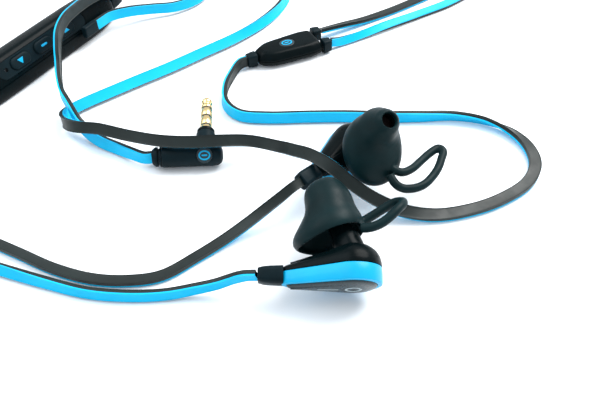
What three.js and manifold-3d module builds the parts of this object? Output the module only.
// Wired sports earphones with a flat two-tone cord: two earphones with winged ear gels, an inline
// control pod, a Y-splitter and a right-angle four-pole 3.5 mm plug.
// Millimetres, +Z up. The set lies loose on a flat surface at z = 0, and the origin is on that surface
// under the middle of the box around the two earphones and the control pod.
import * as THREE from "three";
import { mergeVertices } from "three/addons/utils/BufferGeometryUtils.js";
import Module from "manifold-3d";

const wasm = await Module();
wasm.setup();

// ---------------------------------------------------------------- driving sizes

const LAYOUT_SHIFT = [33.9, -32.9, 0]; // from the layout's own zero to the part's origin
const GAP = 0.15; // clearance between pieces that touch
const SEGMENTS = 24; // round pieces

// Flat cord: black on one broad face, blue on the other. The two earphone cords are narrower.
const CORD_WIDTH = 3.5;
const TWIN_WIDTH = 2.8;
const CORD_THICKNESS = 1.3;

// Earphone. Its own frame: +X towards the cord, +Y across, +Z towards the ear; z = 0 is the outer face.
const HOUSING = { noseX: -1.8, noseRadius: 7.0, tailX: 12.8, tailRadius: 2.5 };
const BAND_HEIGHT = 4.2;
const BAND_HEIGHT_TAIL = 3.2;
const BAND_WALL = 1.15;
const DOME_HEIGHT = 5.4; // above the band, over the driver
const DOME_TAIL_SHARE = 0.42; // what is left of that height over the tail
const SHELL_WALL = 1.1;
const NOZZLE_BASE = [-1, 0, 9.6];
const NOZZLE_LEAN = [0.39, -0.18, 1]; // direction of the nozzle before it is made a unit vector
const NOZZLE_LENGTH = 16.2;
const NOZZLE_RADIUS = 2.9;
const NOZZLE_BORE = 2.0;
const COLLAR_RADIUS = 3.6;
const COLLAR_TOP = 2.5;
const GEL_LENGTH = 18.4; // from the nozzle's base to the gel's mouth
const BOOT_LENGTH = 4.8;

// Where each earphone lies: the middle of its face, the way its cord leaves and the way its face normal
// points. Each gel is soft and sits its own way on its nozzle: `skirt` is how far its rim lies off the
// nozzle's axis, `tip` how much wider its mouth is pressed, `lift` how far its rim is folded up on the
// skirt's side, and `wing` is the route of its stabilising loop, in the earphone's frame.
const EARPHONES = [
  {
    side: "left",
    at: [10.8, -35.6, 6.9],
    cord: [-1, -0.035, 0],
    out: [0, 0.906, 0.423],
    mirrored: false,
    skirt: [3.6, -2.4],
    tip: 0.35,
    lift: 2.2,
    wing: [
      [-3.6, 3, 13.4], [-5.8, 3.4, 13.4], [-8.4, 4, 14.2], [-10.8, 4.2, 16], [-12.8, 3.8, 18.1],
      [-14.2, 2.4, 19.8], [-14.3, 0.4, 21.1], [-12.7, -1.5, 21.5], [-10.3, -2.7, 20.4],
      [-7.8, -3.2, 18.9], [-5.2, -3.4, 17.3], [-3.4, -3.4, 16],
    ],
  },
  {
    side: "right",
    at: [12.1, 13.4, 3.9],
    cord: [-0.62, -0.76, 0.18],
    out: [0.47, -0.18, 0.87],
    mirrored: true,
    skirt: [2.6, -5.6],
    tip: -1.2,
    lift: 0,
    wing: [
      [3, -12.2, 14.2], [1.8, -14.6, 14.8], [-1.9, -15.6, 15.2], [-6.6, -15.4, 15.8],
      [-10.6, -15.2, 16.8], [-13.6, -15.6, 17.8], [-13.4, -17, 18.5], [-10.3, -18.7, 18.3],
      [-7.5, -19.9, 18], [-4, -20.8, 17.2], [-0.1, -21, 16.3], [2.7, -20, 15.2], [4.7, -18.3, 14.3],
      [5.6, -16.4, 14.1], [5, -13.4, 13.9],
    ],
  },
];

// Control pod. Its own frame: +X along it, -Y the button side; z = 0 is its flat underside.
const POD_AT = [-88.5, 66.2, 0];
const POD_ALONG = [0.485, 0.875, 0];
const POD_HALF_LENGTH = 36;
const POD_SPLIT_Z = 5.0;
const POD_WALL = 1.2;
const BUTTON_PITCH = 10.5;
const BUTTON_TRAVEL = 0.4;

// Splitter. Its own frame: +X towards the earphones; z = 0 is its underside.
const SPLITTER_AT = [-4.5, 70.7, 0.1];
const SPLITTER_ALONG = [0.886, 0.464, 0];
const SPLITTER_HALF_LENGTH = 11.6;
const TWIN_OFFSET = 3.9;

// Plug. Its own frame: +X along the grip away from the cord, +Y along the contact barrel.
const PLUG_AT = [-27.4, 15.0, 3.4];
const PLUG_TURN = 3.5; // degrees about the vertical
const PLUG_PITCH = 5; // degrees that the barrel points up
const GRIP_RADIUS = 3.2;
const GRIP_BACK = -14.6;
const BARREL_START = 9.7;
const BARREL_LENGTH = 14;
const BARREL_RADIUS = 1.75;
const COLLAR_DEPTH = 1.5; // the collar behind the barrel, with the sleeve contact reaching into it

// ---------------------------------------------------------------- materials

const material = (color, roughness, metalness = 0) =>
  new THREE.MeshStandardMaterial({ color, roughness, metalness });

const BLACK_PLASTIC = material(0x0b0e10, 0.38);
const BLACK_RUBBER = material(0x101416, 0.55);
const SILICONE = material(0x141b1d, 0.5);
const BLUE = material(0x18b4f0, 0.45);
const COVER_GREY = material(0x39464a, 0.35);
const INSULATOR = material(0x1b1a12, 0.5);
const GOLD = material(0xd9bc6a, 0.25, 1);
const STEEL = material(0x8d9296, 0.35, 1);
const BOARD = material(0x1e4a2e, 0.6);
const CORD = material(0x22282a, 0.5);

// ---------------------------------------------------------------- geometry helpers

const vec = (x, y, z) => new THREE.Vector3(x, y, z);
const unit = (v) => vec(...v).normalize();

// A three.js geometry as a manifold-3d solid, and back.
function toSolid(geometry) {
  const bare = geometry.clone();
  for (const name of Object.keys(bare.attributes)) {
    if (name !== "position") bare.deleteAttribute(name);
  }
  const merged = mergeVertices(bare, 1e-4);
  return new wasm.Manifold(
    new wasm.Mesh({
      numProp: 3,
      vertProperties: merged.attributes.position.array,
      triVerts: new Uint32Array(merged.index.array),
    }),
  );
}

function fromSolid(solid) {
  const mesh = solid.getMesh();
  const geometry = new THREE.BufferGeometry();
  geometry.setAttribute("position", new THREE.BufferAttribute(new Float32Array(mesh.vertProperties), 3));
  geometry.setIndex(new THREE.BufferAttribute(new Uint32Array(mesh.triVerts), 1));
  return geometry;
}

const join = (first, ...others) =>
  fromSolid(others.reduce((sum, other) => sum.add(toSolid(other)), toSolid(first)));
const cut = (first, ...others) =>
  fromSolid(others.reduce((rest, other) => rest.subtract(toSolid(other)), toSolid(first)));

// Turns a closed geometry's faces outwards, whichever way its outline ran.
function facingOut(geometry) {
  const position = geometry.attributes.position;
  const index = geometry.index.array;
  const corner = (i) => vec(0, 0, 0).fromBufferAttribute(position, index[i]);
  let volume = 0;
  for (let i = 0; i < index.length; i += 3) {
    volume += corner(i).dot(vec(0, 0, 0).crossVectors(corner(i + 1), corner(i + 2)));
  }
  if (volume < 0) {
    for (let i = 0; i < index.length; i += 3) {
      [index[i + 1], index[i + 2]] = [index[i + 2], index[i + 1]];
    }
  }
  return geometry;
}

// A closed skin through rings of points. A closed loft joins its last ring to its first, like a tyre.
function loft(rings, closed = false) {
  const count = rings[0].length;
  const points = rings.flat();
  const triangles = [];
  const spans = closed ? rings.length : rings.length - 1;
  for (let r = 0; r < spans; r++) {
    const low = r * count;
    const high = ((r + 1) % rings.length) * count;
    for (let i = 0; i < count; i++) {
      const j = (i + 1) % count;
      triangles.push(low + i, low + j, high + i, low + j, high + j, high + i);
    }
  }
  if (!closed) {
    for (const [ring, flip] of [[0, true], [rings.length - 1, false]]) {
      const middle = rings[ring].reduce((sum, p) => sum.add(p), vec(0, 0, 0)).divideScalar(count);
      const centre = points.push(middle) - 1;
      for (let i = 0; i < count; i++) {
        const a = ring * count + i;
        const b = ring * count + ((i + 1) % count);
        triangles.push(centre, flip ? b : a, flip ? a : b);
      }
    }
  }
  const geometry = new THREE.BufferGeometry().setFromPoints(points);
  geometry.setIndex(triangles);
  return facingOut(geometry);
}

// A solid of revolution about +Z from a profile of [radius, height] that closes on itself or on the axis.
function turned(profile, segments = SEGMENTS) {
  const points = profile.map(([r, h]) => new THREE.Vector2(r, h));
  return facingOut(new THREE.LatheGeometry(points, segments).rotateX(Math.PI / 2));
}

// Disc or tube along +Z. A bore of 0 makes it solid.
function disc(radius, from, to, bore = 0, segments = SEGMENTS) {
  const low = Math.min(from, to);
  const high = Math.max(from, to);
  const profile = bore
    ? [[bore, low], [radius, low], [radius, high], [bore, high], [bore, low]]
    : [[0, low], [radius, low], [radius, high], [0, high]];
  return turned(profile, segments);
}

// A rounded rectangle of points in the YZ plane at x, for boots and bushes.
function roundedSection(x, width, height, zMiddle, corner, yMiddle = 0) {
  const points = [];
  const steps = 3;
  for (let quarter = 0; quarter < 4; quarter++) {
    const sy = quarter === 0 || quarter === 3 ? 1 : -1;
    const sz = quarter < 2 ? 1 : -1;
    for (let k = 0; k <= steps; k++) {
      const angle = (Math.PI / 2) * (quarter + k / steps);
      points.push(
        vec(
          x,
          yMiddle + sy * (width / 2 - corner) + corner * Math.cos(angle),
          zMiddle + sz * (height / 2 - corner) + corner * Math.sin(angle),
        ),
      );
    }
  }
  return points;
}

const smooth = (from, to, x) => THREE.MathUtils.smoothstep(x, from, to);

// Turns and places geometry so that its +Z runs along `along` and its +X leans towards `lean`.
function aimed(geometry, along, lean, at) {
  const z = along.clone().normalize();
  const y = vec(0, 0, 0).crossVectors(z, lean).normalize();
  const x = vec(0, 0, 0).crossVectors(y, z);
  const matrix = new THREE.Matrix4().makeBasis(x, y, z).setPosition(at);
  return geometry.applyMatrix4(matrix);
}

const root = new THREE.Group();
const layout = new THREE.Group();
layout.position.set(...LAYOUT_SHIFT);
root.add(layout);

function piece(parent, name, geometry, look) {
  const mesh = new THREE.Mesh(geometry, look);
  mesh.name = name;
  parent.add(mesh);
  return mesh;
}

// A group whose +X runs along `along` on the surface.
function groupAlong(at, along) {
  const group = new THREE.Group();
  group.position.set(...at);
  group.rotation.z = Math.atan2(along[1], along[0]);
  layout.add(group);
  return group;
}

// ---------------------------------------------------------------- earphones

// The housing's drop-shaped outline, drawn in by `inset`, as a ring at the height that zOf gives.
function dropRing(inset, zOf) {
  const nose = Math.max(HOUSING.noseRadius - inset, 0.4);
  const tail = Math.max(HOUSING.tailRadius - inset, 0.3);
  const touch = Math.acos((nose - tail) / (HOUSING.tailX - HOUSING.noseX));
  const points = [];
  const tailSteps = 6;
  const noseSteps = 18;
  for (let k = 0; k <= tailSteps; k++) {
    const angle = -touch + (2 * touch * k) / tailSteps;
    points.push([HOUSING.tailX + tail * Math.cos(angle), tail * Math.sin(angle)]);
  }
  for (let k = 0; k <= noseSteps; k++) {
    const angle = touch + (2 * (Math.PI - touch) * k) / noseSteps;
    points.push([HOUSING.noseX + nose * Math.cos(angle), nose * Math.sin(angle)]);
  }
  return points.map(([x, y]) => vec(x, y, zOf(x)));
}

// Top edge of the trim band: high over the driver and lower along the tail.
const bandTop = (x) => BAND_HEIGHT - (BAND_HEIGHT - BAND_HEIGHT_TAIL) * smooth(2, 7.4, x);
// A height above the band's edge, which fades towards the tail.
const domeHeight = (h) => (x) => bandTop(x) + h * (1 - (1 - DOME_TAIL_SHARE) * smooth(0, 9.5, x));

const nozzleAxis = unit(NOZZLE_LEAN);
const onNozzle = (s) => vec(...NOZZLE_BASE).addScaledVector(nozzleAxis, s);

function frontShell() {
  const outer = [[0, GAP], [0, 1.0], [0.35, 2.4], [1.0, 3.6], [2.0, 4.6], [3.3, DOME_HEIGHT]];
  const inner = [[1.3, -0.6], [1.3, 0.9], [1.7, 2.0], [2.4, 2.9], [3.4, 3.6]];
  const skin = loft(outer.map(([inset, h]) => dropRing(inset, domeHeight(h))));
  const hollow = loft(inner.map(([inset, h]) => dropRing(inset, domeHeight(h))));
  const nozzle = turned([
    [0, -2.6], [COLLAR_RADIUS, -2.6], [COLLAR_RADIUS, COLLAR_TOP], [NOZZLE_RADIUS, COLLAR_TOP],
    [NOZZLE_RADIUS, NOZZLE_LENGTH], [0, NOZZLE_LENGTH],
  ]);
  const bore = disc(NOZZLE_BORE, -6, NOZZLE_LENGTH + 2);
  aimed(nozzle, nozzleAxis, vec(1, 0, 0), onNozzle(0));
  aimed(bore, nozzleAxis, vec(1, 0, 0), onNozzle(0));
  return fromSolid(toSolid(skin).add(toSolid(nozzle)).subtract(toSolid(hollow)).subtract(toSolid(bore)));
}

function trimBand() {
  const ring = (inset, drop) => dropRing(inset, (x) => bandTop(x) - drop);
  const flat = (inset, z) => dropRing(inset, () => z);
  const outside = [flat(0.3, 0), flat(0, 0.3), ring(0, 0.1), ring(0.1, 0)];
  return loft([...outside, ring(BAND_WALL, 0), flat(BAND_WALL, 0)], true);
}

function faceCover() {
  const edge = BAND_WALL + GAP;
  const level = [[edge, 1.5], [edge, -0.1], [edge + 0.6, -0.6], [edge + 2.2, -0.85]];
  return loft(level.map(([inset, z]) => dropRing(inset, () => z)));
}

function cordBoot() {
  const start = HOUSING.tailX + HOUSING.tailRadius + GAP;
  const sections = [
    [0, 4.7, 4.5, 1.2], [2.4, 4.8, 4.3, 1.3], [3.9, 4.8, 4.0, 1.2], [BOOT_LENGTH, 4.6, 3.2, 0.9],
  ];
  return loft(sections.map(([x, w, h, corner]) => roundedSection(start + x, w, h, 2.4, corner)));
}

// The ear gel: a silicone bell on an inner sleeve, its skirt pulled to one side, with its stabilising loop.
function earGel({ skirt, tip, lift, wing }) {
  const profile = [
    [2.1, 0], [3.6 + tip * 0.8, 0], [4.3 + tip, 0.7], [5.0 + tip, 2.4], [5.6 + tip * 0.8, 4.4],
    [6.4 + tip * 0.4, 7.4], [7.4, 9.8], [8.2, 11.6], [8.5, 13.2], [8.1, 14.8], [7.4, 15.2], [7.6, 13.2],
    [6.8, 10.4], [5.0, 7.6], [4.1, 6.4], [4.1, 10.2], [3.1, 10.2], [3.1, 2.0], [2.1, 1.8], [2.1, 0],
  ];
  const bell = turned(profile.map(([r, s]) => [r, -s]));
  const position = bell.attributes.position;
  for (let i = 0; i < position.count; i++) {
    const radius = Math.hypot(position.getX(i), position.getY(i));
    const along = position.getX(i) * skirt[0] + position.getY(i) * skirt[1];
    const facing = along / (radius * Math.hypot(...skirt));
    const share = smooth(4, 14, -position.getZ(i)) * smooth(4.3, 7, radius) * (0.8 + 0.2 * facing);
    position.setX(i, position.getX(i) + skirt[0] * share);
    position.setY(i, position.getY(i) + skirt[1] * share);
    position.setZ(i, position.getZ(i) + lift * share * Math.max(facing, 0) ** 2);
  }
  aimed(bell, nozzleAxis, vec(1, 0, 0), onNozzle(GEL_LENGTH));
  const section = new THREE.Shape();
  section.absarc(0, 0, 1.2, 0, 2 * Math.PI);
  const path = new THREE.CatmullRomCurve3(wing.map((p) => vec(...p)));
  return join(bell, new THREE.ExtrudeGeometry(section, { steps: 28, curveSegments: 4, extrudePath: path }));
}

function nozzleScreen() {
  return aimed(disc(1.85, 14.4, 14.7), nozzleAxis, vec(1, 0, 0), onNozzle(0));
}

function driver() {
  const unitGeometry = turned([[0, 3.2], [4.6, 3.2], [4.6, 5.4], [3.6, 6.0], [0, 6.0]]);
  return unitGeometry.translate(HOUSING.noseX, 0, 0);
}

for (const { side, at, cord, out, mirrored, ...gel } of EARPHONES) {
  const z = unit(out);
  const y = vec(0, 0, 0).crossVectors(z, unit(cord)).normalize();
  const x = vec(0, 0, 0).crossVectors(y, z);
  const earphone = new THREE.Group();
  earphone.setRotationFromMatrix(new THREE.Matrix4().makeBasis(x, y, z));
  earphone.position.set(...at);
  earphone.scale.y = mirrored ? -1 : 1;
  layout.add(earphone);
  piece(earphone, side + "_front_shell", frontShell(), BLACK_PLASTIC);
  piece(earphone, side + "_trim_band", trimBand(), BLUE);
  piece(earphone, side + "_face_cover", faceCover(), COVER_GREY);
  piece(earphone, side + "_cord_boot", cordBoot(), BLACK_RUBBER);
  piece(earphone, side + "_ear_gel", earGel(gel), SILICONE);
  piece(earphone, side + "_driver", driver(), STEEL);
  piece(earphone, side + "_nozzle_screen", nozzleScreen(), STEEL);
}

// ---------------------------------------------------------------- control pod

// The pod's section: flat base, upright button-side wall, slanted button face, rounded ridge and back.
const POD_SECTION = [
  [-4.8, 0], [4.8, 0], [5.9, 1.2], [6.0, 8.8], [4.8, 10.9], [1.5, 11.8], [-1.8, 12], [-5.8, 5.2],
  [-6.1, 1.4],
];
const POD_STATIONS = [[18, 1], [26, 0.95], [31, 0.84], [34.4, 0.66], [POD_HALF_LENGTH, 0.46]];
const FACE_MIDDLE = vec(0, -3.8, 8.6);
const FACE_NORMAL = unit([0, -6.8, 4]);

function podBody(inset) {
  const middle = 5.6;
  const stations = [];
  for (const [x, share] of POD_STATIONS) stations.push([x, share], [-x, share]);
  stations.sort((a, b) => a[0] - b[0]);
  return loft(
    stations.map(([x, share]) => {
      const reach = x - Math.sign(x) * inset;
      return POD_SECTION.map(([y, z]) => {
        const ySize = (Math.abs(y) * share - inset) * Math.sign(y);
        const zFlat = z < 0.1 ? 0 : middle + (z - middle) * (0.35 + 0.65 * share);
        const zSize = z < 0.1 ? inset : zFlat + (zFlat > middle ? -inset : inset * 0.6);
        return vec(reach, ySize, zSize);
      });
    }),
  );
}

const box = (x0, x1, y0, y1, z0, z1) =>
  new THREE.BoxGeometry(x1 - x0, y1 - y0, z1 - z0).translate((x0 + x1) / 2, (y0 + y1) / 2, (z0 + z1) / 2);

// A slot with round ends, `length` by `width`.
function slotShape(length, width, Base = THREE.Shape) {
  const shape = new Base();
  const r = width / 2;
  const half = length / 2 - r;
  shape.absarc(half, 0, r, -Math.PI / 2, Math.PI / 2);
  shape.absarc(-half, 0, r, Math.PI / 2, (3 * Math.PI) / 2);
  shape.closePath();
  return shape;
}

// Stands geometry on the button face, its +Z along the face's normal.
const inFace = (geometry) => aimed(geometry, FACE_NORMAL, vec(1, 0, 0), FACE_MIDDLE);

// Extrudes a shape drawn on the button face: x along the pod, y up the face, from depth `low` to `high`.
function onFace(shape, low, high, x = 0) {
  const depth = high - low;
  const solid = new THREE.ExtrudeGeometry(shape, { depth, bevelEnabled: false, curveSegments: 5 });
  solid.translate(x, 0, low);
  return inFace(solid);
}

const BEZEL_LENGTH = 40;
const BEZEL_WIDTH = 5.6;
const BUTTONS = [
  { name: "volume_down_button", x: -BUTTON_PITCH, length: 8, width: 4 },
  { name: "centre_button", x: 0, length: 8, width: 4 },
  { name: "volume_up_button", x: BUTTON_PITCH, length: 8, width: 4 },
];
const MICROPHONE_X = -16.6;
// Heights along the button face's normal, from the face.
const BUTTON_PROUD = 0.45;
const BUTTON_FOOT = -1.6;
const DOME_GAP = 0.05;
const BOARD_TOP = -2.7;

const pod = groupAlong(POD_AT, POD_ALONG);
{
  const outer = toSolid(podBody(0));
  const hollow = toSolid(podBody(POD_WALL));
  const above = toSolid(box(-60, 60, -20, 20, POD_SPLIT_Z + GAP / 2, 30));
  const below = toSolid(box(-60, 60, -20, 20, -5, POD_SPLIT_Z - GAP / 2));
  const window = toSolid(onFace(slotShape(BEZEL_LENGTH + 2 * GAP, BEZEL_WIDTH + 2 * GAP), -3, 3));
  const upper = outer.intersect(above).subtract(hollow).subtract(window);
  piece(pod, "pod_upper_shell", fromSolid(upper), BLACK_PLASTIC);
  piece(pod, "pod_lower_shell", fromSolid(outer.intersect(below).subtract(hollow)), BLACK_PLASTIC);
}
{
  const bezel = slotShape(BEZEL_LENGTH, BEZEL_WIDTH);
  for (const { x, length, width } of BUTTONS) {
    const hole = slotShape(length + 2 * GAP, width + 2 * GAP, THREE.Path);
    bezel.holes.push(new THREE.Path(hole.getPoints(5).map((p) => p.add(new THREE.Vector2(x, 0)))));
  }
  const port = new THREE.Path();
  port.absarc(MICROPHONE_X, 0, 0.7, 0, 2 * Math.PI);
  bezel.holes.push(port);
  piece(pod, "pod_button_bezel", onFace(bezel, -1.4, -0.2), BLACK_RUBBER);
}
for (const { name, x, length, width } of BUTTONS) {
  piece(pod, "pod_" + name, onFace(slotShape(length, width), BUTTON_FOOT, BUTTON_PROUD, x), BLACK_RUBBER);
  const dome = inFace(disc(1.7, BOARD_TOP, BUTTON_FOOT - BUTTON_TRAVEL - DOME_GAP, 0, 16));
  piece(pod, "pod_" + name.replace("button", "dome_switch"), dome.translate(x, 0, 0), STEEL);
}
{
  piece(pod, "pod_circuit_board", inFace(box(-19, 19, -2.7, 2.7, BOARD_TOP - 0.9, BOARD_TOP - 0.1)), BOARD);
  const capsule = inFace(disc(1.5, BOARD_TOP, -1.55, 0, 16));
  piece(pod, "pod_microphone", capsule.translate(MICROPHONE_X, 0, 0), STEEL);
}
{
  const sections = [[0, 5.0, 5.0, 1.3], [3.2, 4.4, 5.0, 1.2], [6.6, 2.8, 4.7, 0.8]];
  const end = POD_HALF_LENGTH + GAP;
  const endBoot = loft(sections.map(([x, w, h, c]) => roundedSection(end + x, w, h, 4.6, c)));
  piece(pod, "pod_end_boot", endBoot, BLACK_RUBBER);
  const sideSections = [[15, 2.2, 4.2, 0.8], [18.5, 2.2, 4.3, 0.8], [21, 2.1, 4.1, 0.7]];
  const sideBoot = loft(sideSections.map(([x, w, h, c]) => roundedSection(x, w, h, 5.9, c, -7.7)));
  piece(pod, "pod_side_boot", sideBoot, BLACK_RUBBER);
}

// ---------------------------------------------------------------- splitter

const splitter = groupAlong(SPLITTER_AT, SPLITTER_ALONG);

// The splitter's outline: narrow at the single cord, wide at the twin cords, with round corners.
function splitterRing(inset, z) {
  const half = SPLITTER_HALF_LENGTH;
  const corners = [[-half, -2.6], [-half + 4.2, -5.2], [half - 4.5, -6.2], [half, -5.4]];
  const all = [...corners, ...corners.map(([x, y]) => [x, -y]).reverse()];
  const middle = 1.5;
  const shrink = (v, centre, size) => centre + (v - centre) * (1 - inset / size);
  return all.map(([x, y]) => vec(shrink(x, middle, half), shrink(y, 0, 5.6), z));
}
const shellStack = (levels) => loft(levels.map(([inset, z]) => splitterRing(inset, z)));
{
  const middle = 2.5;
  const upper = shellStack([[0, middle + GAP / 2], [0.1, 3.2], [1.2, 4.8], [1.9, 5.2]]);
  const upperHollow = shellStack([[1.1, middle - 1], [1.3, 3.2], [2.4, 4.1]]);
  const lower = shellStack([[1.6, 0], [0.5, 0.7], [0, 1.8], [0, middle - GAP / 2]]);
  const lowerHollow = shellStack([[2.0, 1.1], [1.2, 1.8], [1.1, middle + 1]]);
  const seat = turned([[0, 4.75], [2.5, 4.75], [2.5, 7], [0, 7]]);
  piece(splitter, "splitter_top_shell", cut(upper, upperHollow, seat), BLACK_PLASTIC);
  piece(splitter, "splitter_bottom_shell", cut(lower, lowerHollow), BLACK_PLASTIC);
  piece(splitter, "splitter_badge", disc(2.3, 4.85, 5.35), BLUE);
  const bush = (from, length, width, y) =>
    loft([
      roundedSection(from, width, 4.6, middle, 0.8, y),
      roundedSection(from + length, width - 0.4, 4.2, middle, 0.8, y),
    ]);
  piece(splitter, "splitter_single_bush", bush(-SPLITTER_HALF_LENGTH - GAP - 3, 3, 3.6, 0), BLACK_RUBBER);
  const twin = SPLITTER_HALF_LENGTH + GAP;
  piece(splitter, "splitter_left_bush", bush(twin, 2.6, 3.6, TWIN_OFFSET), BLACK_RUBBER);
  piece(splitter, "splitter_right_bush", bush(twin, 2.6, 3.6, -TWIN_OFFSET), BLACK_RUBBER);
}

// ---------------------------------------------------------------- plug

const plug = new THREE.Group();
plug.position.set(...PLUG_AT);
plug.rotation.set(THREE.MathUtils.degToRad(PLUG_PITCH), 0, THREE.MathUtils.degToRad(PLUG_TURN), "ZXY");
layout.add(plug);

// Pieces of the barrel are turned about the plug's +Y.
const alongY = (geometry) => geometry.rotateX(-Math.PI / 2);
const alongX = (geometry) => geometry.rotateY(Math.PI / 2);
{
  const nose = [[GRIP_RADIUS, 2.6], [3.0, 3.6], [2.5, 4.4], [1.5, 5.0], [0, 5.2]];
  const body = alongX(turned([[0, GRIP_BACK + 2.4], [GRIP_RADIUS, GRIP_BACK + 2.4], ...nose]));
  const stub = alongY(disc(2.8, 0, BARREL_START - COLLAR_DEPTH));
  const badgeTilt = new THREE.Matrix4().makeRotationX(Math.PI / 4);
  const recess = disc(2.4, 2.75, 6).applyMatrix4(badgeTilt);
  piece(plug, "plug_grip", cut(join(body, stub), recess), BLACK_RUBBER);
  piece(plug, "plug_badge", disc(2.25, 2.8, 3.1).applyMatrix4(badgeTilt), BLUE);
  const boot = turned([
    [0, GRIP_BACK], [2.6, GRIP_BACK], [2.85, GRIP_BACK + 0.5], [2.85, GRIP_BACK + 1.2], [2.3, GRIP_BACK + 1.3],
    [2.3, GRIP_BACK + 1.6], [2.95, GRIP_BACK + 1.7], [2.95, GRIP_BACK + 2.2], [0, GRIP_BACK + 2.2],
  ]);
  piece(plug, "plug_cord_bush", alongX(boot), BLACK_RUBBER);
  const collar = disc(2.6, BARREL_START - COLLAR_DEPTH + GAP, BARREL_START, BARREL_RADIUS + GAP, 32);
  piece(plug, "plug_collar", alongY(collar), BLACK_PLASTIC);
}

// The four contacts and three insulators, from the collar to the tip.
const CORE = 0.7;
const TOUCH = 0.05;
const BARREL_PARTS = [
  ["plug_sleeve_contact", GAP - COLLAR_DEPTH, 1.6, GOLD],
  ["plug_insulator_1", 1.6, 2.0, INSULATOR],
  ["plug_ring_contact_2", 2.0, 5.4, GOLD],
  ["plug_insulator_2", 5.4, 5.8, INSULATOR],
  ["plug_ring_contact_1", 5.8, 9.0, GOLD],
  ["plug_insulator_3", 9.0, 9.4, INSULATOR],
];
for (const [name, from, to, look] of BARREL_PARTS) {
  const tube = disc(BARREL_RADIUS, BARREL_START + from, BARREL_START + to - TOUCH, CORE + TOUCH, 16);
  piece(plug, name, alongY(tube), look);
}
const tipProfile = [
  [0, GAP - COLLAR_DEPTH], [CORE, GAP - COLLAR_DEPTH], [CORE, 9.4], [BARREL_RADIUS, 9.4],
  [BARREL_RADIUS, 10.4], [1.25, 11.2], [1.7, 12.2], [1.5, 13.2], [0.7, BARREL_LENGTH], [0, BARREL_LENGTH],
];
piece(plug, "plug_tip_contact", alongY(turned(tipProfile.map(([r, y]) => [r, BARREL_START + y]), 16)), GOLD);

// ---------------------------------------------------------------- cords

// A flat cord's route. Each point is [x, y, z, lean]: lean is the turn of the broad face about the route,
// 0 when the cord stands on its edge and 90 when it lies flat with its right-hand face up.
class RibbonPath extends THREE.CatmullRomCurve3 {
  constructor(route) {
    super(route.map(([x, y, z]) => vec(x, y, z)), false, "centripetal");
    this.leans = route.map((p) => THREE.MathUtils.degToRad(p[3]));
  }
  leanAt(t) {
    const place = t * (this.leans.length - 1);
    const i = Math.min(Math.floor(place), this.leans.length - 2);
    return THREE.MathUtils.lerp(this.leans[i], this.leans[i + 1], place - i);
  }
  // Steps follow the route's points, which stand closer together in the bends.
  getSpacedPoints(divisions) {
    return this.getPoints(divisions);
  }
  computeFrenetFrames(divisions) {
    const frames = { tangents: [], normals: [], binormals: [] };
    for (let i = 0; i <= divisions; i++) {
      const tangent = this.getTangent(i / divisions);
      const right = vec(tangent.y, -tangent.x, 0).normalize();
      const up = vec(0, 0, 0).crossVectors(right, tangent);
      const lean = this.leanAt(i / divisions);
      const wide = up.clone().multiplyScalar(Math.cos(lean)).addScaledVector(right, -Math.sin(lean));
      frames.tangents.push(tangent);
      frames.normals.push(wide);
      frames.binormals.push(vec(0, 0, 0).crossVectors(tangent, wide));
    }
    return frames;
  }
}

function ribbonSection(width) {
  const [w, t, c] = [width / 2, CORD_THICKNESS / 2, 0.35];
  const shape = new THREE.Shape();
  shape.moveTo(w, -t + c);
  const rest = [[w, t - c], [w - c, t], [-w + c, t], [-w, t - c], [-w, -t + c], [-w + c, -t], [w - c, -t]];
  for (const [x, y] of rest) shape.lineTo(x, y);
  return shape;
}

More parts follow.
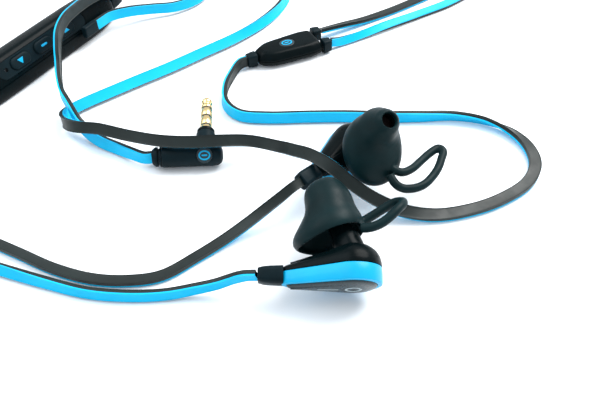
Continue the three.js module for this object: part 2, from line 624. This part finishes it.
const ROUTES = {
  // From the plug, over the control pod, round a loop and into the pod's end.
  cord_plug: [
    [-42.4, 14.1, 3.4, 0], [-44.8, 14.2, 3.1, 0], [-49, 16.4, 2.8, -6], [-54, 19.8, 2, -15],
    [-59, 22.6, 2, -20], [-63.4, 25.8, 2.6, -15], [-67, 29.4, 4, -6], [-70, 33.6, 6.7, 0],
    [-73.2, 39, 6.7, 0], [-75.6, 44.6, 5.2, 0], [-77.4, 50, 5.6, 0], [-78.2, 54.6, 7.6, 0],
    [-78.6, 58.6, 11, 2], [-78.6, 63, 14, 5], [-77.6, 69, 15.4, 8], [-75.6, 76, 15.2, 10],
    [-72.6, 84, 14.4, 8], [-68.4, 93, 12.4, 5], [-63, 102, 8.6, 0], [-56, 111, 5, 0],
    [-50.4, 120, 3, 0], [-50.4, 129, 2.1, 0], [-56.4, 133.4, 2.6, 0], [-62, 129.4, 3.4, 0],
    [-63.4, 122, 4.2, 0], [-64.4, 115.4, 4.5, 0], [-66.2, 109, 4.6, 0],
  ],
  // From the splitter, round the open loop, across the plug, back and into the pod's side.
  cord_main: [
    [-17.9, 63.7, 2.6, 0], [-20.2, 62.2, 2.5, 0], [-22.6, 56.6, 2, 0], [-24.2, 49, 2, 4],
    [-23.2, 40.4, 2, 6], [-18.6, 35.2, 2.1, 8], [-10, 34, 2.1, 8], [2, 34.4, 2.1, 8],
    [14, 34.6, 2.1, 5], [26, 34.4, 2, 0], [37, 34.6, 2, -8], [48, 34.8, 2, -24], [57, 32.6, 1.8, -36],
    [63.6, 28, 1.7, -62], [67.6, 21.4, 1.4, -76], [68.2, 13.6, 1.1, -86], [64.4, 6, 1, -88],
    [57, 0, 1, -88], [48, -4.4, 1, -86], [37, -7, 1.2, -76], [28, -6.8, 2.6, -62], [20, -5.4, 5.8, -50],
    [13.8, -3.5, 9.6, -46], [8.4, -0.6, 13, -45], [3.4, 3.6, 13.2, -45], [-1.2, 9.3, 10, -45],
    [-6, 15, 6.6, -45], [-14, 17.9, 6.2, -45], [-22, 15.4, 8.5, -45], [-31, 14.3, 8.9, -45],
    [-40, 15.6, 8.3, -45], [-50, 19.6, 6.9, -45], [-59, 22.6, 6.9, -45], [-66.4, 25, 5.8, -32],
    [-71, 29, 4.2, -8], [-72.6, 33.6, 2.8, 16], [-71.4, 38, 2, 36], [-67.6, 42, 1.8, 45],
    [-61, 47.4, 1.8, 45], [-53, 53.8, 1.8, 45], [-44, 60.8, 1.8, 45], [-34, 69.4, 1.8, 45],
    [-23, 79, 1.8, 42], [-13.6, 89.4, 1.9, 26], [-7.4, 100, 2, 10], [-4.8, 110, 2, 12],
    [-6.4, 121, 2, 45], [-13, 129, 2.3, 80], [-23, 130.6, 2.3, 112], [-31.4, 124.6, 2.3, 140],
    [-35, 115, 2.3, 160], [-39, 105, 2.4, 172], [-46.4, 98.6, 2.8, 176], [-54, 95.8, 3.6, 178],
    [-61.6, 92, 4.8, 180], [-67.6, 87.2, 5.8, 180], [-70.2, 83, 6, 180], [-71.4, 81.1, 5.9, 180],
  ],
  // From the splitter's twin end, out round the whole set and back to each earphone.
  cord_right: [
    [7.2, 82.2, 2.6, 0], [11, 84.4, 2.4, -10], [16.6, 87.6, 2, -50], [23, 91.6, 1.2, -82],
    [32, 97.4, 0.9, -90], [42, 104.6, 0.9, -90], [52, 113, 0.9, -90], [58, 123, 0.9, -90],
    [56, 134, 0.9, -90], [46, 141.4, 0.9, -90], [32, 144, 0.9, -90], [14, 145, 0.9, -90],
    [-6, 146, 0.9, -90], [-28, 148, 0.9, -90], [-52, 149, 0.9, -90], [-76, 146, 0.9, -90],
    [-96, 138, 0.9, -90], [-112, 124, 0.9, -90], [-122, 104, 0.9, -90], [-127, 80, 0.9, -90],
    [-128, 56, 0.9, -90], [-125, 32, 0.9, -90], [-117, 11, 0.9, -90], [-102, -5, 0.9, -90],
    [-84, -14.6, 0.9, -90], [-72, -20.6, 0.9, -90], [-62, -25.6, 0.9, -90], [-52, -28.8, 0.9, -90],
    [-43, -29.4, 0.9, -90], [-34.6, -27.8, 0.9, -90], [-26.4, -21.6, 0.9, -92],
    [-19.6, -16.2, 1.6, -96], [-13.6, -11.8, 3.4, -104], [-8.8, -9, 5.9, -114], [-4.8, -7, 8.4, -122],
    [-2, -5.2, 9.9, -127], [0.3, -2.8, 9.75, -129],
  ],
  cord_left: [
    [10.6, 75, 2.6, 0], [14, 77, 1.8, 14], [21, 81.4, 1.4, 40], [31, 87.6, 1.6, 60], [44, 96, 1.2, 75],
    [58, 105.6, 1.2, 75], [68.6, 117, 1.2, 75], [71, 131, 1.2, 75], [63, 143.6, 1.2, 75],
    [48, 150.4, 1.2, 75], [30, 152.6, 1.2, 75], [8, 153.6, 1.2, 75], [-16, 155, 1.2, 75],
    [-42, 157, 1.2, 75], [-68, 156, 1.2, 75], [-92, 149.6, 1.2, 75], [-112, 138, 1.2, 75],
    [-126, 121, 1.2, 75], [-134, 99, 1.2, 75], [-137, 75, 1.2, 75], [-137, 50, 1.2, 75],
    [-133, 25, 1.2, 75], [-123.6, 2.4, 1.4, 70], [-107, -13, 1.6, 60], [-88, -21.4, 1.4, 45],
    [-74.6, -26.4, 1.6, 30], [-63, -30.4, 1.7, 15], [-52, -33.6, 1.7, 8], [-42, -34.6, 1.7, 5],
    [-33, -34.2, 1.7, 5], [-25.6, -33.2, 2.6, 0], [-20.4, -32.7, 3.8, -4], [-16.4, -32.5, 5.6, -12],
    [-13.2, -33, 7.4, -12], [-10.2, -33.5, 8.2, -12],
  ],
};

for (const [name, route] of Object.entries(ROUTES)) {
  const path = new RibbonPath(route);
  const steps = Math.min(2 * (route.length - 1), 84);
  const width = name === "cord_left" || name === "cord_right" ? TWIN_WIDTH : CORD_WIDTH;
  const tube = new THREE.ExtrudeGeometry(ribbonSection(width), { steps, extrudePath: path });
  piece(layout, name, tube, CORD);
}

export default root;
